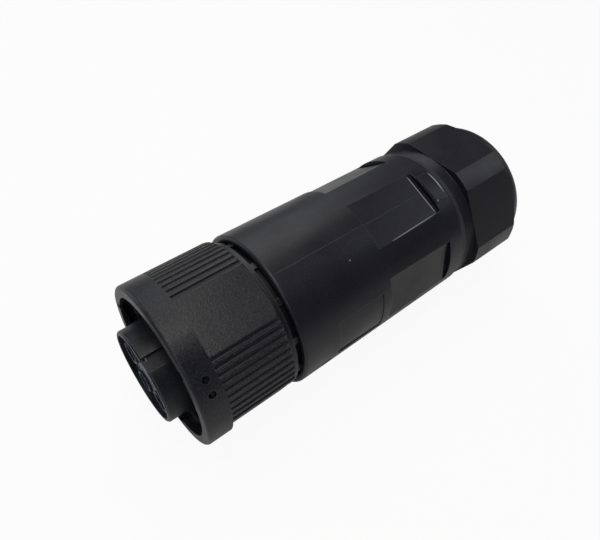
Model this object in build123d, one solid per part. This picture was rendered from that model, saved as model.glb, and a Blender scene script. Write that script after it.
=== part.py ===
from build123d import *
from math import cos, radians, sin, sqrt
import os

# Female round power connector for cable mounting, five poles, with a bayonet coupling ring.
# Millimetres. The connector axis is X, from the mating face at X = 0 towards the cable, and +Z is up.
# The connector lies on its side. An angle is a turn about X that starts at +Z and goes towards -Y.

# Running and seating clearances
running_clearance = 0.10
slip_clearance = 0.05
side_clearance = 0.20

# How far an added feature is rooted in what carries it, and how far a cutter stands past a face
root = 0.5
margin = 1.0

# Contact carrier, the nose that enters the mating half
carrier_radius = 12.5
carrier_wall = 1.95
carrier_rim_wall = 1.0
carrier_rim_chamfer = 0.4
carrier_recess = 1.4
carrier_flange_thickness = 3.0
carrier_flange_height = 3.6
key_angle = 24.8
key_half_angle = 9.0
key_depth = 1.1
key_undercut = 0.25

# Five contacts on one circle, with a land between their bores and the insert's outside
contact_count = 5
contact_names = ("l1", "l2", "l3", "n", "pe")
contact_land = 0.65
contact_first_angle = 60.8
contact_radius = 2.4
pin_hole_radius = 1.55
pin_hole_depth = 14.0
contact_setback = 3.1
tine_count = 4
tine_slot = 0.4
tine_length = 9.0
barrel_radius = 2.75
barrel_setback = 0.5
wire_hole_radius = 1.7
wire_hole_depth = 9.0

# Terminal block and its screws
block_length = 15.0
block_neck_step = 1.1
block_seat_length = 3.4
screw_to_block_rear = 5.5
screw_shank_radius = 1.2
screw_shank_length = 4.0
screw_bite = 0.4
screw_head_radius = 1.9
screw_head_height = 1.6
screw_slot_width = 0.5
screw_slot_depth = 0.6
tie_screw_radius = 1.5
tie_screw_bite = 6.0
tie_head_radius = 2.7
tie_head_height = 1.8

# Coupling ring
ring_wall = 2.9
ring_front = 4.6
ring_length = 25.3
ring_shoulder = 0.5
ring_bore_depth = 12.4
ring_edge_round = 0.9
ring_rear_round = 1.1
grip_start = 6.6
pad_count = 4
pad_first_angle = 23.8
pad_half_angle = 19.4
groove_count = 10
groove_radius = 0.72
groove_depth = 0.62
ring_hole_radius = 1.0
ring_hole_station = 3.8
ring_hole_angles = (53.1, 63.4)
track_count = 3
track_first_angle = 45.0
track_turn = 23.0
track_rise = 0.8
track_width = 2.2
track_depth = 1.2
track_station = 1.9

# Front sleeve, which carries the ring in front and plugs into the body behind
sleeve_radius = 18.6
sleeve_flange_height = 2.3
sleeve_flange_thickness = 1.1
neck_height = 0.8
neck_length = 1.5
tooth_count = 12
tooth_first_angle = 6.7
tooth_width = 1.7
tooth_height = 1.0
tooth_length = 2.6
spigot_length = 9.3
spigot_wall = 2.7
latch_count = 2
latch_angle = 107.6
latch_start = 6.5
latch_length = 2.8
latch_width = 1.6
latch_height = 2.1

# Rings, seals and springs at the front
retainer_station = 2.3
retainer_thickness = 0.9
retainer_depth = 0.9
retainer_reach = 0.8
retainer_gap = 30.0
disc_spring_thickness = 0.45
disc_spring_pocket = 1.2
disc_spring_pocket_height = 1.3
face_seal_thickness = 1.8
face_seal_inset = 0.4
circlip_thickness = 0.8
circlip_gap = 40.0
circlip_bite = 0.7
circlip_land = 0.8
o_ring_section = 0.75
o_ring_station = 3.3

# Body shell
body_length = 59.1
body_rim_wall = 1.4
body_rear_step = 3.6
body_front_round = 0.9
body_recess_depth = 1.8
body_rear_round = 1.1
body_wall_rear = 3.2
spigot_pocket_play = 2.0
flat_count = 6
flat_first_angle = 21.8
flat_cut = 1.0
flat_length = 21.9
flat_to_body_rear = 7.5
end_slot_width = 1.5
end_slot_depth = 0.7
tile_half_width = 4.6
tile_length = 4.2
tile_height = 0.35
tile_gap = 0.3
panel_angle = 87.2
panel_half_angle = 16.5
panel_start = 11.6
panel_length = 15.2
panel_depth = 0.25

# Tail of the body, which carries the gland's thread
tail_radius = 18.0
tail_length = 11.7
tail_wall = 2.0
tail_bore_lead = 5.1

# Cable gland
gasket_thickness = 1.3
gasket_height = 2.9
nut_gap = 0.2
nut_thread_height = 0.6
nut_flat_wall = 2.75
nut_corner_rise = 1.75
nut_first_flat_angle = 0.0
nut_neck_inset = 0.85
nut_neck_flare = 0.6
nut_neck_length = 3.0
nut_hexagon_length = 16.8
nut_hexagon_bevel = 1.9
nut_collar_inset = 0.35
nut_collar_round_length = 4.4
nut_collar_round_height = 2.95
nut_mouth_radius = 10.0
nut_mouth_round = 1.8
nut_cone_start = 12.6
nut_cone_step = 2.3
basket_tube_wall = 2.2
basket_tube_length = 9.0
basket_flange_height = 2.3
basket_flange_thickness = 1.2
finger_count = 12
finger_length = 7.4
finger_slot = 0.9
finger_inset = 0.6
finger_taper = 2.9
finger_wall = 1.3
cable_radius = 6.5
seal_length = 17.2
seal_nose_radius = 11.0
thrust_ring_thickness = 1.4
thrust_ring_wall = 2.2

# Radii from the axis outwards, worked out from the values above
insert_radius = carrier_radius - carrier_wall - slip_clearance
contact_circle_radius = insert_radius - contact_land - contact_radius - slip_clearance
carrier_flange_radius = carrier_radius + carrier_flange_height
block_neck_radius = carrier_flange_radius - block_neck_step
sleeve_bore_radius = carrier_radius + slip_clearance
sleeve_pocket_radius = carrier_flange_radius + slip_clearance
spigot_radius = sleeve_pocket_radius + spigot_wall
neck_radius = sleeve_radius + neck_height
sleeve_flange_radius = sleeve_radius + sleeve_flange_height
ring_bearing_radius = sleeve_radius + running_clearance
ring_bore_radius = ring_bearing_radius + ring_shoulder
ring_radius = ring_bore_radius + ring_wall
disc_spring_pocket_radius = ring_bearing_radius + disc_spring_pocket_height
face_seal_radius = sleeve_radius - face_seal_inset
body_bore_radius = spigot_radius + slip_clearance
body_recess_radius = neck_radius + tooth_height + side_clearance
body_front_radius = body_recess_radius + body_rim_wall
body_rear_radius = tail_radius + body_rear_step
body_rear_bore_radius = body_rear_radius - body_wall_rear
flat_distance = body_rear_radius - flat_cut
tail_bore_radius = tail_radius - tail_wall
gasket_radius = tail_radius + gasket_height
nut_bore_radius = tail_radius + nut_thread_height + running_clearance
nut_flat_distance = nut_bore_radius + nut_flat_wall
nut_corner_radius = nut_flat_distance + nut_corner_rise
nut_neck_radius = nut_flat_distance - nut_neck_inset
nut_collar_radius = nut_flat_distance - nut_collar_inset
nut_cone_radius = nut_bore_radius - nut_cone_step
basket_tube_radius = tail_bore_radius - slip_clearance
seal_radius = basket_tube_radius - basket_tube_wall
basket_flange_radius = tail_bore_radius + basket_flange_height
finger_root_radius = tail_bore_radius - finger_inset
finger_tip_radius = finger_root_radius - finger_taper

# Stations along the axis, worked out from the values above
ring_rear = ring_front + ring_length
ring_bore_floor = ring_front + ring_bore_depth
sleeve_front = ring_bore_floor - side_clearance
flange_front = ring_rear + side_clearance
flange_rear = flange_front + sleeve_flange_thickness
body_front = flange_rear + neck_length
body_rear = body_front + body_length
body_recess_floor = body_front + body_recess_depth
sleeve_rear = body_front + spigot_length
block_seat_rear = sleeve_rear - circlip_land - circlip_thickness
carrier_rear = block_seat_rear - block_seat_length
carrier_shoulder = carrier_rear - carrier_flange_thickness
block_rear = carrier_rear + block_length
screw_x = block_rear - screw_to_block_rear
retainer_front = sleeve_front + retainer_station
latch_front = body_front + latch_start
slot_front = body_rear - flat_to_body_rear
tail_rear = body_rear + tail_length
tail_bore_front = body_rear - tail_bore_lead
gasket_rear = body_rear + gasket_thickness
nut_front = gasket_rear + nut_gap
hexagon_front = nut_front + nut_neck_length
hexagon_rear = hexagon_front + nut_hexagon_length
nut_round_front = hexagon_rear + nut_hexagon_bevel
nut_rear = nut_round_front + nut_collar_round_length
basket_front = tail_rear - basket_tube_length
basket_flange_rear = tail_rear + basket_flange_thickness
finger_rear = basket_flange_rear + finger_length
thrust_front = finger_rear + side_clearance
thrust_rear = thrust_front + thrust_ring_thickness

contact_angles = [contact_first_angle + i * 360 / contact_count for i in range(contact_count)]
track_angles = [track_first_angle + i * 360 / track_count for i in range(track_count)]


# Solid of revolution about X from an outline of (x, radius) points
def turned(*points):
    return revolve(make_face(Polyline(*points, close=True)), Axis.X)


# Plain disc or ring between two stations
def ring(x0, x1, outer, inner=0.0):
    return turned((x0, inner), (x1, inner), (x1, outer), (x0, outer))


# The shape made at +Z, turned about X to an angle
def at_angle(shape, angle):
    return Rot(angle, 0, 0) * shape


# Copies of the shape at equal angles
def around(shape, count, first):
    return [at_angle(shape, first + i * 360 / count) for i in range(count)]


# Block over +Z, from one station to another, with its width across Y and two heights above the axis
def block(x0, x1, width, z0, z1):
    return Pos((x0 + x1) / 2, 0, (z0 + z1) / 2) * Box(x1 - x0, width, z1 - z0)


# Radial cylinder over +Z at a station
def radial(x, radius, z0, z1):
    return Pos(x, 0, (z0 + z1) / 2) * Cylinder(radius, z1 - z0)


# Cylinder along X between two stations, standing off the axis towards +Z
def axial(x0, x1, radius, height):
    return Pos((x0 + x1) / 2, 0, height) * Rot(0, 90, 0) * Cylinder(radius, x1 - x0)


# Wedge of space between two angles either side of +Z, for cutting gaps in rings
def wedge(x0, x1, reach, angle):
    side = reach * sin(radians(angle / 2))
    top = reach * cos(radians(angle / 2))
    outline = make_face(Polyline((0, 0), (side, top), (-side, top), close=True))
    return Pos(x0, 0, 0) * extrude(Plane.YZ * outline, x1 - x0)


# Circular edges of one radius, in order along X
def rims(solid, radius):
    edges = solid.edges().filter_by(GeomType.CIRCLE)
    return ShapeList(e for e in edges if abs(e.radius - radius) < 0.01).sort_by(Axis.X)


# Coupling ring: grip grooves between four flat pads outside, three bayonet tracks inside
def coupling_ring():
    solid = ring(ring_front, ring_rear, ring_radius, ring_bearing_radius)
    solid -= ring(ring_front, ring_bore_floor, ring_bore_radius)
    solid -= ring(ring_rear - disc_spring_pocket, ring_rear, disc_spring_pocket_radius)
    solid -= ring(
        retainer_front - running_clearance,
        retainer_front + retainer_thickness + running_clearance,
        sleeve_radius + retainer_reach + side_clearance,
    )
    solid = fillet(rims(solid, ring_radius)[0], ring_edge_round)
    solid = fillet(rims(solid, ring_radius)[-1], ring_rear_round)

    grip_front = ring_front + grip_start
    pad_distance = ring_radius * cos(radians(pad_half_angle))
    pad = block(grip_front, ring_rear, 2 * ring_radius, pad_distance, 2 * ring_radius)
    groove_height = ring_radius + groove_radius - groove_depth
    groove = axial(grip_front, ring_rear, groove_radius, groove_height)
    pitch = (360 / pad_count - 2 * pad_half_angle) / groove_count
    cutters = around(pad, pad_count, pad_first_angle)
    for p in range(pad_count):
        first = pad_first_angle + p * 360 / pad_count + pad_half_angle + pitch / 2
        cutters += [at_angle(groove, first + i * pitch) for i in range(groove_count)]
    hole_station = ring_front + ring_hole_station
    hole = radial(hole_station, ring_hole_radius, sleeve_radius, ring_radius + margin)
    cutters += [at_angle(hole, a) for a in ring_hole_angles]
    solid -= cutters
    return solid - bayonet_tracks()


# Bayonet tracks: a mouth at the front face, a slot rising along a helix and a round detent
def bayonet_tracks():
    floor = ring_bore_radius + track_depth
    top = ring_bore_radius - root
    start = ring_front + track_station
    detent_station = start + track_rise
    mouth = block(ring_front - margin, start, track_width, top - root, floor)
    corner = radial(start, track_width / 2, top - root, floor)
    detent = at_angle(radial(detent_station, track_width / 2, top - root, floor), -track_turn)
    path = Rot(0, 90, 0) * Helix(
        track_rise * 360 / track_turn, track_rise, (top + floor) / 2, lefthand=True
    )
    begin = path @ 0
    across = Plane(origin=begin, z_dir=path % 0, x_dir=begin - Vector(begin.X, 0, 0))
    section = across * Rectangle(floor - top, track_width)
    track = sweep(section, path, is_frenet=True)
    # The helix begins at -Z, and half a turn brings it under the mouth
    track = Pos(start, 0, 0) * Rot(180, 0, 0) * track
    shapes = (mouth, corner, track, detent)
    return [at_angle(shape, angle) for angle in track_angles for shape in shapes]


# Front sleeve with its thin flange, the teeth in the gap and the spigot with two latches
def front_sleeve():
    solid = turned(
        (sleeve_front, sleeve_bore_radius),
        (carrier_shoulder, sleeve_bore_radius),
        (carrier_shoulder, sleeve_pocket_radius),
        (sleeve_rear, sleeve_pocket_radius),
        (sleeve_rear, spigot_radius),
        (body_recess_floor, spigot_radius),
        (body_recess_floor, neck_radius),
        (flange_rear, neck_radius),
        (flange_rear, sleeve_flange_radius),
        (flange_front, sleeve_flange_radius),
        (flange_front, sleeve_radius),
        (sleeve_front, sleeve_radius),
    )
    solid -= ring(
        retainer_front - slip_clearance,
        retainer_front + retainer_thickness + slip_clearance,
        sleeve_radius + margin,
        sleeve_radius - retainer_depth,
    )
    groove_x = body_front + o_ring_station
    solid -= ring(
        groove_x - o_ring_section - slip_clearance,
        groove_x + o_ring_section + slip_clearance,
        spigot_radius + margin,
        body_bore_radius - 2 * o_ring_section,
    )
    solid -= ring(
        block_seat_rear,
        block_seat_rear + circlip_thickness,
        sleeve_pocket_radius + circlip_bite + slip_clearance,
    )
    tooth_rear = flange_rear + tooth_length
    tooth_top = neck_radius + tooth_height
    tooth = block(flange_rear - root, tooth_rear, tooth_width, neck_radius - root, tooth_top)
    latch_rear = latch_front + latch_length
    latch_top = spigot_radius + latch_height
    latch = block(latch_front, latch_rear, latch_width, spigot_radius - root, latch_top)
    ramp = latch.edges().filter_by(Axis.Y).group_by(Axis.Z)[-1].sort_by(Axis.X)[-1]
    latch = chamfer(ramp, latch_height / 2)
    solid += around(tooth, tooth_count, tooth_first_angle)
    return solid + around(latch, latch_count, latch_angle)


# Contact carrier: the nose with its thin rim, its saw-toothed keyway and the flange that seats it
def contact_carrier():
    bore_radius = insert_radius + slip_clearance
    solid = turned(
        (carrier_rear, bore_radius),
        (carrier_rear, carrier_flange_radius),
        (carrier_shoulder, carrier_flange_radius),
        (carrier_shoulder, carrier_radius),
        (carrier_rim_chamfer, carrier_radius),
        (0, carrier_radius - carrier_rim_chamfer),
        (0, carrier_radius - carrier_rim_wall),
        (carrier_recess, carrier_radius - carrier_rim_wall),
        (carrier_recess, bore_radius),
    )
    half = carrier_radius * sin(radians(key_half_angle))
    top = carrier_radius * cos(radians(key_half_angle))
    outline = Polyline(
        (half, top),
        (half - key_undercut, top - key_depth),
        (-half, top),
        (-half, top + root + margin),
        (half, top + root + margin),
        close=True,
    )
    keyway = extrude(Plane.YZ * make_face(outline), sleeve_front)
    return solid - at_angle(keyway, key_angle)


# Insert with the five contact bores, held in the carrier by the screw from the terminal block
def contact_insert():
    solid = ring(carrier_recess, carrier_rear, insert_radius)
    bore_radius = contact_radius + slip_clearance
    bore = axial(carrier_recess, carrier_rear, bore_radius, contact_circle_radius)
    tapping = axial(carrier_rear - tie_screw_bite, carrier_rear, tie_screw_radius, 0)
    return solid - [at_angle(bore, angle) for angle in contact_angles] - tapping


# Socket contact: slotted socket in front, solid shaft, and a barrel with a wire hole behind
def contact():
    front = contact_setback
    rear = block_rear - barrel_setback
    solid = turned(
        (front, pin_hole_radius),
        (front, contact_radius),
        (carrier_rear, contact_radius),
        (carrier_rear, barrel_radius),
        (rear, barrel_radius),
        (rear, wire_hole_radius),
        (rear - wire_hole_depth, wire_hole_radius),
        (rear - wire_hole_depth, 0),
        (front + pin_hole_depth, 0),
        (front + pin_hole_depth, pin_hole_radius),
    )
    slot = block(front - margin, front + tine_length, tine_slot, 0, contact_radius + margin)
    solid -= around(slot, tine_count, 360 / tine_count / 2)
    solid = Pos(0, 0, contact_circle_radius) * solid
    barrel_top = contact_circle_radius + barrel_radius
    return solid - radial(
        screw_x, screw_shank_radius, contact_circle_radius + root, barrel_top + margin
    )


# Heights above the axis of the clamp screw's tip and of the seat of its head
def clamp_screw_heights():
    tip = contact_circle_radius + wire_hole_radius - screw_bite
    return tip, tip + screw_shank_length


# Clamp screw that holds the wire in the contact's barrel
def terminal_screw():
    tip, under_head = clamp_screw_heights()
    top = under_head + screw_head_height
    solid = radial(screw_x, screw_shank_radius, tip, under_head)
    solid += radial(screw_x, screw_head_radius, under_head, top)
    reach = screw_head_radius + margin
    slot = block(
        screw_x - reach, screw_x + reach, screw_slot_width, top - screw_slot_depth, top + margin
    )
    return solid - slot


# Terminal block: bores for the contact barrels and a well for each clamp screw
def terminal_block():
    solid = turned(
        (carrier_rear, 0),
        (block_rear, 0),
        (block_rear, block_neck_radius),
        (block_seat_rear, block_neck_radius),
        (block_seat_rear, carrier_flange_radius),
        (carrier_rear, carrier_flange_radius),
    )
    under_head = clamp_screw_heights()[1]
    outside = block_neck_radius + margin
    bore = axial(carrier_rear, block_rear, barrel_radius + slip_clearance, contact_circle_radius)
    neck = radial(screw_x, screw_shank_radius + slip_clearance, contact_circle_radius, outside)
    well = radial(screw_x, screw_head_radius + side_clearance, under_head, outside)
    cutters = [axial(carrier_rear, block_rear, tie_screw_radius + slip_clearance, 0)]
    for angle in contact_angles:
        cutters += [at_angle(shape, angle) for shape in (bore, neck, well)]
    return solid - cutters


# Screw on the axis that pulls the insert and the carrier against the terminal block
def tie_screw():
    head_rear = block_rear + tie_head_height
    solid = axial(carrier_rear - tie_screw_bite, block_rear, tie_screw_radius, 0)
    solid += axial(block_rear, head_rear, tie_head_radius, 0)
    reach = tie_head_radius + margin
    slot = block(head_rear - screw_slot_depth, head_rear + margin, screw_slot_width, -reach, reach)
    return solid - slot


# Wire ring in the sleeve's groove that keeps the coupling ring on
def ring_retainer():
    rear = retainer_front + retainer_thickness
    outer = sleeve_radius + retainer_reach
    solid = ring(retainer_front, rear, outer, sleeve_radius - retainer_depth)
    return solid - wedge(retainer_front - margin, rear + margin, 2 * outer, retainer_gap)


# Conical spring washer between the sleeve's flange and the coupling ring
def disc_spring():
    floor = ring_rear - disc_spring_pocket + running_clearance
    inner = sleeve_radius + slip_clearance
    outer = disc_spring_pocket_radius - running_clearance
    return turned(
        (flange_front - disc_spring_thickness, inner),
        (flange_front, inner),
        (floor + disc_spring_thickness, outer),
        (floor, outer),
    )


# Flat rubber ring on the sleeve's front face, which the mating shell presses on
def face_seal():
    inner = sleeve_bore_radius
    return ring(sleeve_front - face_seal_thickness, sleeve_front, face_seal_radius, inner)


# O-ring between the spigot and the body
def spigot_o_ring():
    section = Pos(body_front + o_ring_station, body_bore_radius - o_ring_section)
    return revolve(section * Circle(o_ring_section), Axis.X)


# Circlip in the sleeve behind the seat of the terminal block
def block_circlip():
    rear = block_seat_rear + circlip_thickness
    outer = sleeve_pocket_radius + circlip_bite
    solid = ring(block_seat_rear, rear, outer, block_neck_radius + slip_clearance)
    return solid - wedge(block_seat_rear - margin, rear + margin, 2 * outer, circlip_gap)


# Radius of the drafted body at a station
def body_radius_at(x):
    share = (x - body_front) / body_length
    return body_front_radius + (body_rear_radius - body_front_radius) * share


# Body shell with six wrench flats, a slot at the end of each, and the gland's tail
def body_shell():
    pocket_rear = sleeve_rear + spigot_pocket_play
    throat = body_rear_bore_radius - tail_bore_radius
    solid = turned(
        (body_front, body_recess_radius),
        (body_recess_floor, body_recess_radius),
        (body_recess_floor, body_bore_radius),
        (pocket_rear, body_bore_radius),
        (pocket_rear, body_rear_bore_radius),
        (tail_bore_front, body_rear_bore_radius),
        (tail_bore_front + throat, tail_bore_radius),
        (tail_rear, tail_bore_radius),
        (tail_rear, tail_radius),
        (body_rear, tail_radius),
        (body_rear, body_rear_radius),
        (body_front, body_front_radius),
    )
    solid = fillet(rims(solid, body_front_radius), body_front_round)
    solid = fillet(rims(solid, body_rear_radius), body_rear_round)

    reach = 2 * body_front_radius
    slot_rear = slot_front + end_slot_width
    flat = block(slot_front - flat_length, slot_front, reach, flat_distance, reach)
    half_flat = sqrt(body_radius_at(slot_front) ** 2 - flat_distance ** 2)
    slot = block(slot_front, slot_rear, 2 * half_flat, flat_distance - end_slot_depth, reach)
    cutters = around(flat, flat_count, flat_first_angle)
    cutters += around(slot, flat_count, flat_first_angle)
    window = block(
        latch_front - side_clearance,
        latch_front + latch_length + side_clearance,
        latch_width + 2 * side_clearance,
        spigot_radius - margin,
        reach,
    )
    cutters += around(window, latch_count, latch_angle)
    panel_front = body_front + panel_start
    panel_rear = panel_front + panel_length
    panel_floor = body_radius_at(panel_front + panel_length / 2) - panel_depth
    panel = ring(panel_front, panel_rear, reach, panel_floor)
    panel &= wedge(panel_front, panel_rear, 2 * reach, 2 * panel_half_angle)
    cutters.append(at_angle(panel, panel_angle))
    solid -= cutters

    tile_front = slot_rear + tile_gap
    tile_rear = tile_front + tile_length
    tile = block(tile_front, tile_rear, 2 * tile_half_width, flat_distance - root, reach)
    tile &= ring(tile_front, tile_rear, body_radius_at(tile_front) + tile_height)
    return solid + at_angle(tile, flat_first_angle)


# Gasket between the body's end and the gland nut
def tail_gasket():
    return ring(body_rear, gasket_rear, gasket_radius, tail_radius)


# Clamping basket: tube in the tail, flange on its end, and tapering fingers
def clamp_basket():
    tip_inner = finger_tip_radius - finger_wall
    solid = turned(
        (basket_front, seal_radius),
        (basket_flange_rear, seal_radius),
        (finger_rear, tip_inner),
        (finger_rear, finger_tip_radius),
        (basket_flange_rear, finger_root_radius),
        (basket_flange_rear, basket_flange_radius),
        (tail_rear, basket_flange_radius),
        (tail_rear, basket_tube_radius),
        (basket_front, basket_tube_radius),
    )
    slot = block(basket_flange_rear, finger_rear + margin, finger_slot, 0, 2 * finger_root_radius)
    return solid - around(slot, finger_count, 0)


# Rubber sleeve inside the basket that seals on the cable
def cable_seal():
    rear = basket_front + seal_length
    return turned(
        (basket_front, cable_radius),
        (rear, cable_radius),
        (rear, seal_nose_radius),
        (basket_flange_rear, seal_radius),
        (basket_front, seal_radius),
    )


# Low-friction ring that the nut turns against
def thrust_ring():
    inner = finger_tip_radius - finger_wall
    return ring(thrust_front, thrust_rear, inner + thrust_ring_wall, inner)


# Hexagon with its corners turned off
def hexagon_prism(x0, x1):
    cutter = 3 * nut_corner_radius
    solid = ring(x0, x1, nut_corner_radius)
    face = block(x0 - margin, x1 + margin, cutter, nut_flat_distance, cutter)
    return solid - around(face, 6, nut_first_flat_angle)


# Gland nut: round neck, hexagon and rounded collar, with the thread's bore, a cone and the mouth
def gland_nut():
    centre_radius = nut_collar_radius - nut_collar_round_height
    profile = Polyline(
        (nut_rear, centre_radius),
        (nut_rear, 0),
        (nut_front, 0),
        (nut_front, nut_neck_radius),
        (hexagon_front, nut_neck_radius + nut_neck_flare),
        (hexagon_front, nut_corner_radius),
        (hexagon_rear, nut_corner_radius),
        (nut_round_front, nut_collar_radius),
    )
    collar_round = EllipticalCenterArc(
        (nut_round_front, centre_radius), nut_collar_round_length, nut_collar_round_height
    )
    envelope = revolve(make_face(profile + collar_round), Axis.X)
    cone_front = nut_front + nut_cone_start
    thrust_seat = thrust_rear + slip_clearance
    thrust_bore = finger_tip_radius - finger_wall + thrust_ring_wall + side_clearance
    solid = hexagon_prism(nut_front, nut_rear) & envelope
    solid -= turned(
        (nut_front, 0),
        (nut_front, nut_bore_radius),
        (cone_front, nut_bore_radius),
        (cone_front, nut_cone_radius),
        (thrust_front, thrust_bore),
        (thrust_seat, thrust_bore),
        (thrust_seat, nut_mouth_radius),
        (nut_rear, nut_mouth_radius),
        (nut_rear, 0),
    )
    return fillet(rims(solid, nut_mouth_radius)[-1], nut_mouth_round)


# Every piece under its own name
def pieces():
    made = {
        "coupling_ring": coupling_ring(),
        "disc_spring": disc_spring(),
        "ring_retainer": ring_retainer(),
        "front_sleeve": front_sleeve(),
        "face_seal": face_seal(),
        "spigot_o_ring": spigot_o_ring(),
        "contact_carrier": contact_carrier(),
        "contact_insert": contact_insert(),
        "terminal_block": terminal_block(),
        "tie_screw": tie_screw(),
        "block_circlip": block_circlip(),
        "body_shell": body_shell(),
        "tail_gasket": tail_gasket(),
        "clamp_basket": clamp_basket(),
        "cable_seal": cable_seal(),
        "thrust_ring": thrust_ring(),
        "gland_nut": gland_nut(),
    }
    socket = contact()
    screw = terminal_screw()
    for name, angle in zip(contact_names, contact_angles):
        made["contact_" + name] = at_angle(socket, angle)
        made["terminal_screw_" + name] = at_angle(screw, angle)
    return made


os.makedirs("parts", exist_ok=True)
for name, solid in pieces().items():
    export_step(solid, f"parts/{name}.step")
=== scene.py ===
import bpy
import numpy as np
from math import cos, pi, radians, sin
from mathutils import Matrix, Vector


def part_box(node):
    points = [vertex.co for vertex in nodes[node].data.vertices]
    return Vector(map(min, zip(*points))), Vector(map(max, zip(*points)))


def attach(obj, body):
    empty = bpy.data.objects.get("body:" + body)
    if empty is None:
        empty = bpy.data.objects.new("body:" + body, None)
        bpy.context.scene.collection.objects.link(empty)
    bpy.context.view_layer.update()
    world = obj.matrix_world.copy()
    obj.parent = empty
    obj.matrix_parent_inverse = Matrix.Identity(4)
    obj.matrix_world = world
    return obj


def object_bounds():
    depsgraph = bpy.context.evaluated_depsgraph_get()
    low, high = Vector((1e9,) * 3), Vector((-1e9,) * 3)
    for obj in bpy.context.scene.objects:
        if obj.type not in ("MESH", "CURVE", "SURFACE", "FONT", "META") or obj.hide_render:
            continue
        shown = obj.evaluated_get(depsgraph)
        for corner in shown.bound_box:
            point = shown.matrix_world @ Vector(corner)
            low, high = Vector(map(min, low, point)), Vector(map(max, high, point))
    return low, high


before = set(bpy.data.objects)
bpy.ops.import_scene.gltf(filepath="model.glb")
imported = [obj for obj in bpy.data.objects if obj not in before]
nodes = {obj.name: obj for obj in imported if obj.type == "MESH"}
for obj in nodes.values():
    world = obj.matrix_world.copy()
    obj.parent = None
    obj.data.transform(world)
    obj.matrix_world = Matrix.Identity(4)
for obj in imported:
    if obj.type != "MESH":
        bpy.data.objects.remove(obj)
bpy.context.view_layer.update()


# Contacts: five turned brass sockets with slotted fronts, silver plated, pressed into the insert
# from behind. Each has a zinc-plated clamp screw that stands in its barrel.

MM = 0.001
tool_mark = 0.35 * MM
tool_mark_depth = 0.01 * MM
tool_mark_stretch = (1, 0.02, 0.02)
dulling_size = 3 * MM


def shader(name):
    """An empty Principled material and the parts of its tree that a finish needs."""
    material = bpy.data.materials.new(name)
    material.use_nodes = True
    tree = material.node_tree
    return material, tree.nodes, tree.links, tree.nodes["Principled BSDF"]


def speckle(tree_nodes, links, grain, detail, stretch=(1, 1, 1)):
    """Noise on Object coordinates with cells of one grain, in metres, drawn out along an axis."""
    where = tree_nodes.new("ShaderNodeTexCoord")
    mapping = tree_nodes.new("ShaderNodeMapping")
    mapping.inputs["Scale"].default_value = stretch
    noise = tree_nodes.new("ShaderNodeTexNoise")
    noise.inputs["Scale"].default_value = 1 / grain
    noise.inputs["Detail"].default_value = detail
    links.new(where.outputs["Object"], mapping.inputs["Vector"])
    links.new(mapping.outputs["Vector"], noise.inputs["Vector"])
    return noise.outputs["Fac"]


def spread(tree_nodes, links, value, low, high, start=0.3, end=0.7):
    """Carries a noise value from its usual spread to the range that a socket needs."""
    ranger = tree_nodes.new("ShaderNodeMapRange")
    ranger.inputs["From Min"].default_value = start
    ranger.inputs["From Max"].default_value = end
    ranger.inputs["To Min"].default_value = low
    ranger.inputs["To Max"].default_value = high
    links.new(value, ranger.inputs["Value"])
    return ranger.outputs["Result"]


def blend_tones(tree_nodes, links, factor, first, second):
    """Colour between two tones by a factor from 0 to 1."""
    mix = tree_nodes.new("ShaderNodeMix")
    mix.data_type = "RGBA"
    mix.inputs["A"].default_value = (*first, 1)
    mix.inputs["B"].default_value = (*second, 1)
    links.new(factor, mix.inputs["Factor"])
    return mix.outputs["Result"]


def turned_metal(name, tone, stain, roughness):
    """Turned and plated metal: tool marks as fine rings along X, and a little dulling in patches."""
    material, tree_nodes, links, bsdf = shader(name)
    rings = speckle(tree_nodes, links, tool_mark, 3, tool_mark_stretch)
    patches = speckle(tree_nodes, links, dulling_size, 4)
    tones = blend_tones(tree_nodes, links, spread(tree_nodes, links, patches, 0, 1), tone, stain)
    links.new(tones, bsdf.inputs["Base Color"])
    bsdf.inputs["Metallic"].default_value = 1
    links.new(spread(tree_nodes, links, patches, *roughness), bsdf.inputs["Roughness"])
    bump = tree_nodes.new("ShaderNodeBump")
    bump.inputs["Strength"].default_value = 0.25
    bump.inputs["Distance"].default_value = tool_mark_depth
    links.new(rings, bump.inputs["Height"])
    links.new(bump.outputs["Normal"], bsdf.inputs["Normal"])
    return material


def dress(node_names, material):
    """Gives CAD nodes one material on every slot, and leaves their meshes alone."""
    for node_name in node_names:
        mesh = nodes[node_name].data
        if not mesh.materials:
            mesh.materials.append(material)
        for slot in range(len(mesh.materials)):
            mesh.materials[slot] = material


poles = ("l1", "l2", "l3", "n", "pe")
silver_plate = turned_metal("silver_plate", (0.78, 0.77, 0.74), (0.55, 0.53, 0.48), (0.22, 0.38))
zinc_plate = turned_metal("zinc_plate", (0.62, 0.63, 0.66), (0.5, 0.5, 0.52), (0.28, 0.42))
dress([f"contact_{pole}" for pole in poles], silver_plate)
dress([f"terminal_screw_{pole}" for pole in poles], zinc_plate)


# Contact carrier, insert and terminal block: moulded in dark blue-black insulating plastics. The
# nose has a saw-toothed keyway and a thin rim. A raised collar stands round each of the insert's
# five bores, and one zinc-plated screw on the axis pulls the block against the insert.

collar_inner = 2.5 * MM
collar_outer = 3.05 * MM
collar_height = 0.6 * MM
collar_root = 0.1 * MM
collar_corner = 0.2 * MM
collar_steps = 48
cloud_size = 9 * MM
coarse_grains = 4
open_reach = 3
edge_polish = 0.14
plastic_ior = 1.42
coarse_share = 0.6
edge_window = (0.84, 0.99)
open_window = (0.7, 0.97)
grain_window = (0.42, 0.72)
light_share = 0.8


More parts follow.
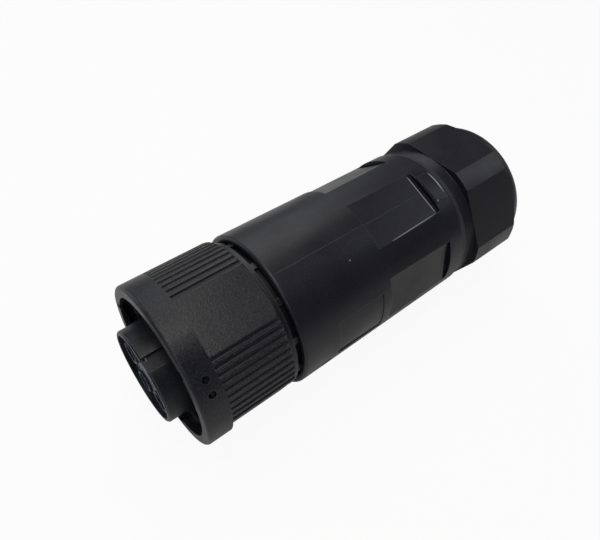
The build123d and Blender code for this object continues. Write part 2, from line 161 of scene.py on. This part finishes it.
def moulded_plastic(name, tone, light_tone, edge_highlight_tone, grain, depth, roughness, edge):
    """Moulded plastic with a spark-eroded skin: grain bump, mottled tone, polished rounded edges.

    The grain is two octaves of noise. Edges are found where the rounded normal leaves the face's own.
    Outer ones, which nothing near shades, are smoother and painted lighter, a painted highlight along each
    edge.
    """
    material, tree_nodes, links, bsdf = shader(name)
    fine = speckle(tree_nodes, links, grain, 2)
    coarse = speckle(tree_nodes, links, coarse_grains * grain, 3)
    clouds = speckle(tree_nodes, links, cloud_size, 2)

    rounded = tree_nodes.new("ShaderNodeBevel")
    rounded.samples = 6
    rounded.inputs["Radius"].default_value = edge
    surface = tree_nodes.new("ShaderNodeNewGeometry")
    facing = tree_nodes.new("ShaderNodeVectorMath")
    facing.operation = "DOT_PRODUCT"
    links.new(rounded.outputs["Normal"], facing.inputs[0])
    links.new(surface.outputs["Normal"], facing.inputs[1])
    openness = tree_nodes.new("ShaderNodeAmbientOcclusion")
    openness.samples = 6
    openness.inputs["Distance"].default_value = open_reach * edge
    # Edge mask: outer rounded edges that nothing near shades. Below it mixes in the edge tone, a painted
    # highlight line, and lowers the roughness.
    outer = tree_nodes.new("ShaderNodeMath")
    outer.operation = "MULTIPLY"
    links.new(spread(tree_nodes, links, facing.outputs["Value"], 1, 0, *edge_window), outer.inputs[0])
    links.new(spread(tree_nodes, links, openness.outputs["AO"], 0, 1, *open_window), outer.inputs[1])
    edge_highlight_and_polish = outer.outputs["Value"]

    mottled = tree_nodes.new("ShaderNodeMix")
    mottled.data_type = "RGBA"
    mottled.inputs["B"].default_value = (*edge_highlight_tone, 1)
    speckled = spread(tree_nodes, links, fine, 0, light_share, *grain_window)
    links.new(edge_highlight_and_polish, mottled.inputs["Factor"])
    links.new(blend_tones(tree_nodes, links, speckled, tone, light_tone), mottled.inputs["A"])
    links.new(mottled.outputs["Result"], bsdf.inputs["Base Color"])

    smooth = tree_nodes.new("ShaderNodeMath")
    smooth.operation = "MULTIPLY_ADD"
    smooth.inputs[1].default_value = -edge_polish
    links.new(edge_highlight_and_polish, smooth.inputs[0])
    links.new(spread(tree_nodes, links, clouds, *roughness), smooth.inputs[2])
    links.new(smooth.outputs["Value"], bsdf.inputs["Roughness"])
    bsdf.inputs["IOR"].default_value = plastic_ior

    skin = tree_nodes.new("ShaderNodeMath")
    skin.operation = "MULTIPLY_ADD"
    skin.inputs[1].default_value = coarse_share
    links.new(coarse, skin.inputs[0])
    links.new(fine, skin.inputs[2])
    bump = tree_nodes.new("ShaderNodeBump")
    bump.inputs["Strength"].default_value = 0.6
    bump.inputs["Distance"].default_value = depth
    links.new(skin.outputs["Value"], bump.inputs["Height"])
    links.new(rounded.outputs["Normal"], bump.inputs["Normal"])
    links.new(bump.outputs["Normal"], bsdf.inputs["Normal"])
    return material


def surface_piece(name, points, closed_u, body, material):
    """A piece from a grid of points P(u, v), closed along v, and along u where closed_u says so."""
    across, along = points.shape[:2]
    mark = np.arange(across * along).reshape(across, along)
    if closed_u:
        mark = np.vstack([mark, mark[:1]])
    mark = np.hstack([mark, mark[:, :1]])
    quads = np.stack([mark[:-1, :-1], mark[1:, :-1], mark[1:, 1:], mark[:-1, 1:]], axis=-1)
    mesh = bpy.data.meshes.new(name)
    mesh.from_pydata(points.reshape(-1, 3).tolist(), [], quads.reshape(-1, 4).tolist())
    mesh.polygons.foreach_set("use_smooth", np.ones(len(mesh.polygons), dtype=bool))
    mesh.materials.append(material)
    piece = bpy.data.objects.new(name, mesh)
    bpy.context.scene.collection.objects.link(piece)
    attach(piece, body)


def rounded_section(width, height, corner, count=5):
    """Closed section w(t), h(t): a rectangle whose two upper corners are quarter circles of one radius."""
    turn_up = np.linspace(0, pi / 2, count)
    right_w = width / 2 - corner + corner * np.cos(turn_up)
    right_h = height - corner + corner * np.sin(turn_up)
    w = np.concatenate([[width / 2], right_w, -right_w[::-1], [-width / 2]])
    h = np.concatenate([[0], right_h, right_h[::-1], [0]])
    return w, h


def collar(centre_y, centre_z, face_x):
    """Ring round a bore: the section turned about the bore's axis, standing off the face towards -X.

    P(u, v) = centre + (middle radius + w(v)) * (cos u, sin u) across X, and face + root - h(v) along X.
    """
    w, h = rounded_section(collar_outer - collar_inner, collar_height + collar_root, collar_corner)
    u = np.linspace(0, 2 * pi, collar_steps, endpoint=False)[:, None]
    reach = (collar_outer + collar_inner) / 2 + w[None, :]
    x = face_x + collar_root - h[None, :] + 0 * u
    return np.stack([x, centre_y + reach * np.cos(u), centre_z + reach * np.sin(u)], axis=-1)


# The carrier's pale blue-grey edge tone is a painted highlight along the nose's rim and other outer edges.
carrier_plastic = moulded_plastic(
    "carrier_plastic", (0.0052, 0.0058, 0.0092), (0.02, 0.022, 0.032), (0.3, 0.31, 0.38),
    0.4 * MM, 0.03 * MM, (0.36, 0.48), 0.13 * MM
)
# The insert is lighter and bluer than the carrier, partly to paint in glints of light. Its pale blue edge
# tone is a painted highlight on its rims and on the collars.
insert_plastic = moulded_plastic(
    "insert_plastic", (0.016, 0.019, 0.038), (0.06, 0.068, 0.115), (0.34, 0.37, 0.5),
    0.4 * MM, 0.03 * MM, (0.28, 0.4), 0.12 * MM
)
dress(["contact_carrier", "terminal_block"], carrier_plastic)
dress(["contact_insert"], insert_plastic)
dress(["tie_screw"], zinc_plate)
insert_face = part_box("contact_insert")[0].x
for pole in poles:
    low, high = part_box(f"contact_{pole}")
    ring_points = collar((low.y + high.y) / 2, (low.z + high.z) / 2, insert_face)
    surface_piece(f"collar_{pole}", ring_points, True, "connector", insert_plastic)


# Front sleeve: moulded black plastic, carries the coupling ring in front and plugs into the body
# behind. Its thin flange and twelve teeth show in the gap behind the ring.

# Its light grey edge tone is a painted highlight along the flange, the teeth and other outer edges.
sleeve_plastic = moulded_plastic(
    "sleeve_plastic", (0.0045, 0.0048, 0.0075), (0.016, 0.017, 0.023), (0.2, 0.205, 0.23),
    0.3 * MM, 0.012 * MM, (0.3, 0.42), 0.15 * MM
)
dress(["front_sleeve"], sleeve_plastic)


# Seals: black rubber rings in the ring gap and on the spigot, the gasket between body and nut, and
# the sleeve that grips the cable. They are pressed or slipped into their seats.

dust_size = 0.25 * MM
dust_depth = 0.02 * MM
bloom_size = 4 * MM


def moulded_rubber(name, tone, light_tone, roughness):
    """Rubber: fine powdery speckle, very broad sheen and no polish at the edges."""
    material, tree_nodes, links, bsdf = shader(name)
    dust = speckle(tree_nodes, links, dust_size, 3)
    patches = speckle(tree_nodes, links, bloom_size, 3)
    tones = blend_tones(tree_nodes, links, spread(tree_nodes, links, patches, 0, 1), tone, light_tone)
    links.new(tones, bsdf.inputs["Base Color"])
    links.new(spread(tree_nodes, links, dust, *roughness), bsdf.inputs["Roughness"])
    bsdf.inputs["Sheen Weight"].default_value = 0.15
    bump = tree_nodes.new("ShaderNodeBump")
    bump.inputs["Strength"].default_value = 0.4
    bump.inputs["Distance"].default_value = dust_depth
    links.new(dust, bump.inputs["Height"])
    links.new(bump.outputs["Normal"], bsdf.inputs["Normal"])
    return material


seal_rubber = moulded_rubber("seal_rubber", (0.008, 0.008, 0.009), (0.018, 0.018, 0.019), (0.62, 0.8))
gasket_rubber = moulded_rubber("gasket_rubber", (0.005, 0.006, 0.01), (0.011, 0.012, 0.018), (0.48, 0.62))
dress(["face_seal", "spigot_o_ring", "cable_seal"], seal_rubber)
dress(["tail_gasket"], gasket_rubber)


# Spring steel parts: the wire ring that keeps the coupling ring on, the conical spring washer
# behind it and the circlip behind the terminal block's seat.

spring_steel = turned_metal("spring_steel", (0.52, 0.53, 0.55), (0.4, 0.4, 0.42), (0.25, 0.4))
dress(["ring_retainer", "disc_spring", "block_circlip"], spring_steel)


# Coupling ring: moulded black plastic with a coarse spark-eroded skin, turns on the sleeve.
# Its grip grooves and flat pads are in the CAD solid, and so are the bayonet tracks inside.

# Its grey edge tone is a painted highlight along the ridges of the grip and other outer edges.
ring_plastic = moulded_plastic(
    "ring_plastic", (0.0046, 0.0048, 0.0092), (0.031, 0.032, 0.041), (0.15, 0.153, 0.165),
    0.36 * MM, 0.075 * MM, (0.34, 0.46), 0.14 * MM
)
dress(["coupling_ring"], ring_plastic)


# Body shell: moulded black plastic with a fine skin and six wrench flats. The mould's halves leave
# a fine ridge down two sides, and its tail carries the gland's thread, a round-topped helical ridge.
# Thin light grey ridges stand on the first flat's edge, its slot's lip and behind the raised tile, and a
# light grey nub and pip stand on the body and tile: all are painted highlights where edges catch light.

seam_angle = 21.0
seam_width = 0.24 * MM
seam_height = 0.05 * MM
seam_inset = 1.3 * MM
seam_end = 0.15 * MM
seam_step = 0.05 * MM
seam_run_out = 0.5 * MM
seam_points = 400
ridge_root = 0.05 * MM
ridge_corner = 0.4
corner_points = 4
highlight_line_width = 0.36 * MM
highlight_line_height = 0.14 * MM
highlight_line_points = 160
edge_lead = 4.5 * MM
edge_end = 0.1 * MM
edge_run_out = 9 * MM
lip_margin = 0.3 * MM
lip_inset = 0.16 * MM
lip_run_out = 2 * MM
crescent_width = 0.55 * MM
crescent_height = 0.22 * MM
crescent_half = 3.6 * MM
crescent_inset = 0.35 * MM
crescent_lean = 1.5
crescent_points = 90
gate_angle = 37.0
gate_x = 53.2 * MM
gate_size = 0.5 * MM
gate_height = 0.2 * MM
pip_size = 0.55 * MM
pip_inset = 0.5 * MM
pip_lean = 1.2
pip_points = 24
thread_pitch = 1.5 * MM
thread_turns = 6
thread_width = 1.0 * MM
thread_height = 0.55 * MM
thread_root = 0.1 * MM
thread_corner = 0.3 * MM
thread_steps = 96
thread_fade = 0.6
tail_radius = 18.0 * MM
tail_clear = 1.4 * MM
body_front_radius = 22.0 * MM
body_rear_radius = 21.6 * MM
body_rear = 91.8 * MM
flat_angle = 21.8
flat_distance = 20.6 * MM
flat_from = 62.4 * MM
flat_to = 84.3 * MM
tile_from = 86.1 * MM
tile_to = 90.3 * MM
tile_half_width = 4.6 * MM
tile_radius = 22.0 * MM
body_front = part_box("body_shell")[0].x


def tail_thread():
    """Thread ridge: a rounded section carried along a helix on the tail, fading in at both ends.

    P(s, t) = (x0 + pitch * s / 2 pi + fade * w(t), (radius + fade * h(t)) * (-sin s, cos s)), where
    radius is the tail's less the root, and fade falls to nothing over the first and last third of a turn.
    """
    w, h = rounded_section(thread_width, thread_height + thread_root, thread_corner, corner_points)
    s = np.linspace(0, 2 * pi * thread_turns, thread_steps * thread_turns + 1)[:, None]
    fade = np.clip(np.minimum(s, s[-1] - s) / (2 * pi / 3), 0, 1) ** thread_fade
    x = body_rear + tail_clear + thread_width / 2 + thread_pitch * s / (2 * pi) + fade * w[None, :]
    reach = tail_radius - thread_root + fade * h[None, :]
    return np.stack([x, -reach * np.sin(s), reach * np.cos(s)], axis=-1)


def body_radius(x):
    """The body's own radius at a place along it, which falls evenly from front to rear."""
    part_way = (x - body_front) / (body_rear - body_front)
    return body_front_radius + (body_rear_radius - body_front_radius) * part_way


def raised_line(x, reach, angle, width, height, run_out):
    """A fine ridge along a line of points given by x, reach from the axis and angle about it.

    P(s, t) = line(s) + fade * w(t) * across(s) + (fade * h(t) - root) * outward(s). Across is square to
    the line and to outward. Fade falls to nothing over the run-out at both ends, as a quarter ellipse.
    """
    corner = ridge_corner * min(width, height)
    w, h = rounded_section(width, height + ridge_root, corner, corner_points)
    outward = np.stack([0 * x, -np.sin(np.radians(angle)), np.cos(np.radians(angle))], axis=-1)
    line = reach[:, None] * outward
    line[:, 0] = x
    step = np.gradient(line, axis=0)
    across = np.cross(outward, step)
    across /= np.linalg.norm(across, axis=1)[:, None]
    travel = np.concatenate([[0], np.cumsum(np.linalg.norm(np.diff(line, axis=0), axis=1))])
    rise = np.clip(np.minimum(travel, travel[-1] - travel) / run_out, 0, 1)
    fade = np.sqrt(1 - (1 - rise) ** 2)[:, None, None]
    side = fade * w[None, :, None] * across[:, None, :]
    up = (fade * h[None, :, None] - ridge_root) * outward[:, None, :]
    return line[:, None, :] + side + up


def seam_line(angle):
    """Points of the parting line: along the body, and down onto the wrench flat where it crosses it."""
    x = np.linspace(body_front + seam_inset, flat_to - seam_end, seam_points)
    reach = np.where(x > flat_from + seam_step, flat_distance, body_radius(x))
    return x, reach, np.full(seam_points, angle)


def flat_edge_line():
    """Points of the first flat's edge towards the front of the picture, where plane meets round."""
    x = np.linspace(flat_from + edge_lead, flat_to - edge_end, highlight_line_points)
    turn = np.degrees(np.arccos(flat_distance / body_radius(x)))
    return x, body_radius(x), flat_angle + turn


def slot_lip_line():
    """Points across the first flat along its slot: y runs over the flat, reach = root(d^2 + y^2)."""
    half = np.sqrt(body_radius(flat_to) ** 2 - flat_distance**2) - lip_margin
    y = np.linspace(-half, half, highlight_line_points)
    turn = np.degrees(np.arctan2(y, flat_distance))
    x = np.full(highlight_line_points, flat_to - lip_inset)
    return x, np.hypot(flat_distance, y), flat_angle + turn


def crescent_line():
    """Points along the tile's rear edge, on the tile's own round top."""
    turn = np.linspace(-crescent_half, crescent_half, crescent_points) / tile_radius
    x = np.full(crescent_points, tile_to - crescent_inset)
    reach = np.full(crescent_points, tile_radius)
    return x, reach, flat_angle - crescent_lean + np.degrees(turn)


def short_line(x, reach, angle, length):
    """Points of a line along X that is as short as its ridge is wide, which makes a round pip."""
    place = np.linspace(x - length / 2, x + length / 2, pip_points)
    return place, np.full(pip_points, reach), np.full(pip_points, angle)


# Its grey edge tone is a painted highlight along the body's outer edges.
body_plastic = moulded_plastic(
    "body_plastic", (0.0048, 0.0048, 0.0098), (0.017, 0.017, 0.026), (0.13, 0.135, 0.14),
    0.28 * MM, 0.036 * MM, (0.32, 0.44), 0.16 * MM
)
# Light grey in every tone: the ridges, nub and pip given this material are painted highlights.
highlight_line_plastic = moulded_plastic(
    "highlight_line_plastic", (0.2, 0.203, 0.21), (0.28, 0.283, 0.29), (0.34, 0.34, 0.345),
    0.24 * MM, 0.01 * MM, (0.24, 0.34), 0.05 * MM
)
dress(["body_shell"], body_plastic)
surface_piece("tail_thread", tail_thread(), False, "connector", body_plastic)
for name, angle in (("seam_ridge_near", seam_angle), ("seam_ridge_far", seam_angle + 180)):
    ridge = raised_line(*seam_line(angle), seam_width, seam_height, seam_run_out)
    surface_piece(name, ridge, False, "connector", body_plastic)
# These light grey ridges are painted highlight lines along the flat's edge, the slot's lip and the tile's
# rear edge.
flat_edge = raised_line(*flat_edge_line(), highlight_line_width, highlight_line_height, edge_run_out)
surface_piece("flat_edge_highlight", flat_edge, False, "connector", highlight_line_plastic)
slot_lip = raised_line(*slot_lip_line(), highlight_line_width, highlight_line_height, lip_run_out)
surface_piece("slot_lip_highlight", slot_lip, False, "connector", highlight_line_plastic)
crescent = raised_line(*crescent_line(), crescent_width, crescent_height, crescent_half)
surface_piece("tile_crescent", crescent, False, "connector", highlight_line_plastic)
# The nub and the pip are light grey too: painted glints.
gate_line = short_line(gate_x, body_radius(gate_x), gate_angle, gate_size)
gate = raised_line(*gate_line, gate_size, gate_height, gate_size / 2)
surface_piece("gate_mark_highlight", gate, False, "connector", highlight_line_plastic)
pip_angle = flat_angle + np.degrees(np.arcsin(tile_half_width / tile_radius)) - pip_lean
pip_line = short_line(tile_from + pip_inset, tile_radius, pip_angle, pip_size)
pip = raised_line(*pip_line, pip_size, gate_height, pip_size / 2)
surface_piece("tile_pip", pip, False, "connector", highlight_line_plastic)


# Cable gland: clamp basket of black plastic, white low-friction ring, and the hexagon nut that
# closes the basket on the cable. The nut's black is a touch redder than the body's.

# Its edge tone is a painted highlight along the nut's corners and outer edges.
nut_plastic = moulded_plastic(
    "nut_plastic", (0.0054, 0.005, 0.01), (0.018, 0.017, 0.028), (0.06, 0.058, 0.068),
    0.26 * MM, 0.024 * MM, (0.34, 0.46), 0.2 * MM
)
# Its whiter edge tone is a painted highlight along the thrust ring's outer edges.
slippery_plastic = moulded_plastic(
    "slippery_plastic", (0.62, 0.62, 0.58), (0.7, 0.7, 0.66), (0.75, 0.75, 0.72),
    0.5 * MM, 0.005 * MM, (0.25, 0.35), 0.1 * MM
)
dress(["gland_nut"], nut_plastic)
dress(["clamp_basket"], sleeve_plastic)
dress(["thrust_ring"], slippery_plastic)


# Studio: a white table, one soft light overhead, a smaller one over the front, and soft ones all
# round it. The table keeps a faint shadow and looks white to the camera, the surround light grey.

low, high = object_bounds()
middle = (low + high) / 2
table_half = 1.2
table_share = 0.93
mirror_share = 0.1


def table_top(half, height):
    """A square grid of points: x and y run over the square, z is the height everywhere."""
    u, v = np.meshgrid(np.linspace(-half, half, 2), np.linspace(-half, half, 2), indexing="ij")
    points = np.stack([u, v, np.full_like(u, height)], axis=-1).reshape(-1, 3)
    mesh = bpy.data.meshes.new("table")
    mesh.from_pydata(points.tolist(), [], [(0, 2, 3, 1)])
    table = bpy.data.objects.new("table", mesh)
    bpy.context.scene.collection.objects.link(table)
    return table


def seen_share(tree_nodes, links):
    """1 where the camera sees a surface itself, and a small share where metal or plastic mirrors it."""
    path = tree_nodes.new("ShaderNodeLightPath")
    mirrored = tree_nodes.new("ShaderNodeMath")
    mirrored.operation = "MAXIMUM"
    seen = tree_nodes.new("ShaderNodeMath")
    seen.operation = "MULTIPLY_ADD"
    seen.inputs[1].default_value = mirror_share
    links.new(path.outputs["Is Glossy Ray"], mirrored.inputs[0])
    links.new(path.outputs["Is Transmission Ray"], mirrored.inputs[1])
    links.new(mirrored.outputs["Value"], seen.inputs[0])
    links.new(path.outputs["Is Camera Ray"], seen.inputs[2])
    return seen.outputs["Value"]


table = table_top(table_half, low.z)
table_white, table_nodes, table_links, table_bsdf = shader("table_white")
table_bsdf.inputs["Base Color"].default_value = (0.86, 0.86, 0.86, 1)
table_bsdf.inputs["Roughness"].default_value = 0.9
share = table_nodes.new("ShaderNodeMath")
share.operation = "MULTIPLY"
share.inputs[1].default_value = table_share
bright = table_nodes.new("ShaderNodeEmission")
to_white = table_nodes.new("ShaderNodeMixShader")
table_links.new(seen_share(table_nodes, table_links), share.inputs[0])
table_links.new(share.outputs["Value"], to_white.inputs["Fac"])
table_links.new(table_bsdf.outputs["BSDF"], to_white.inputs[1])
table_links.new(bright.outputs["Emission"], to_white.inputs[2])
table_links.new(to_white.outputs["Shader"], table_nodes["Material Output"].inputs["Surface"])
table.data.materials.append(table_white)

world = bpy.data.worlds.new("surround")
bpy.context.scene.world = world
world.use_nodes = True
world_nodes = world.node_tree.nodes
world_links = world.node_tree.links
surround = world_nodes["Background"]
surround.inputs["Color"].default_value = (0.96, 0.98, 1.0, 1)
surround.inputs["Strength"].default_value = 0.06
backdrop = world_nodes.new("ShaderNodeBackground")
world_seen = seen_share(world_nodes, world_links)
show_backdrop = world_nodes.new("ShaderNodeMixShader")
world_links.new(world_seen, show_backdrop.inputs["Fac"])
world_links.new(surround.outputs["Background"], show_backdrop.inputs[1])
world_links.new(backdrop.outputs["Background"], show_backdrop.inputs[2])
world_links.new(show_backdrop.outputs["Shader"], world_nodes["World Output"].inputs["Surface"])


def soft_light(name, place, size, power, tint):
    """A square area light at a place, turned to face the object's middle."""
    lamp = bpy.data.lights.new(name, "AREA")
    lamp.size = size
    lamp.energy = power
    lamp.color = tint
    light = bpy.data.objects.new(name, lamp)
    light.location = place
    light.rotation_euler = (middle - Vector(place)).to_track_quat("-Z", "Y").to_euler()
    bpy.context.scene.collection.objects.link(light)


daylight = (0.94, 0.98, 1.0)
warm_white = (1.0, 0.97, 0.91)
soft_light("overhead_light", (-0.044, 0.0, 0.489), 0.24, 0.5, warm_white)
soft_light("front_light", (0.02, -0.07, 0.36), 0.05, 0.21, warm_white)
soft_light("high_back_light", (0.192, 0.229, 0.424), 0.24, 0.39, warm_white)
soft_light("back_light", (0.2, 0.385, 0.27), 0.28, 0.3, daylight)
soft_light("low_back_light", (-0.175, 0.407, 0.171), 0.24, 0.28, daylight)
soft_light("left_light", (-0.281, -0.197, 0.308), 0.24, 0.36, daylight)
soft_light("right_light", (0.52, -0.02, 0.2), 0.24, 0.08, warm_white)
soft_light("front_right_light", (0.43, -0.14, 0.31), 0.2, 0.2, daylight)

eye = Vector((-0.01598, -0.0768, 0.11519))
sight = Vector((0.43378, 0.51799, -0.73724)).normalized()
roll = radians(-1.65)
level_right = sight.cross(Vector((0, 0, 1))).normalized()
level_up = level_right.cross(sight)
right = level_right * cos(roll) - level_up * sin(roll)
up = level_right * sin(roll) + level_up * cos(roll)
turn = Matrix((right, up, -sight)).transposed()
camera_data = bpy.data.cameras.new("camera")
camera_data.lens = 32.97
camera_data.sensor_width = 36
camera_data.clip_start = 0.005
camera = bpy.data.objects.new("camera", camera_data)
camera.matrix_world = Matrix.Translation(eye) @ turn.to_4x4()
bpy.context.scene.collection.objects.link(camera)
bpy.context.scene.camera = camera
bpy.context.scene.view_settings.view_transform = "Standard"
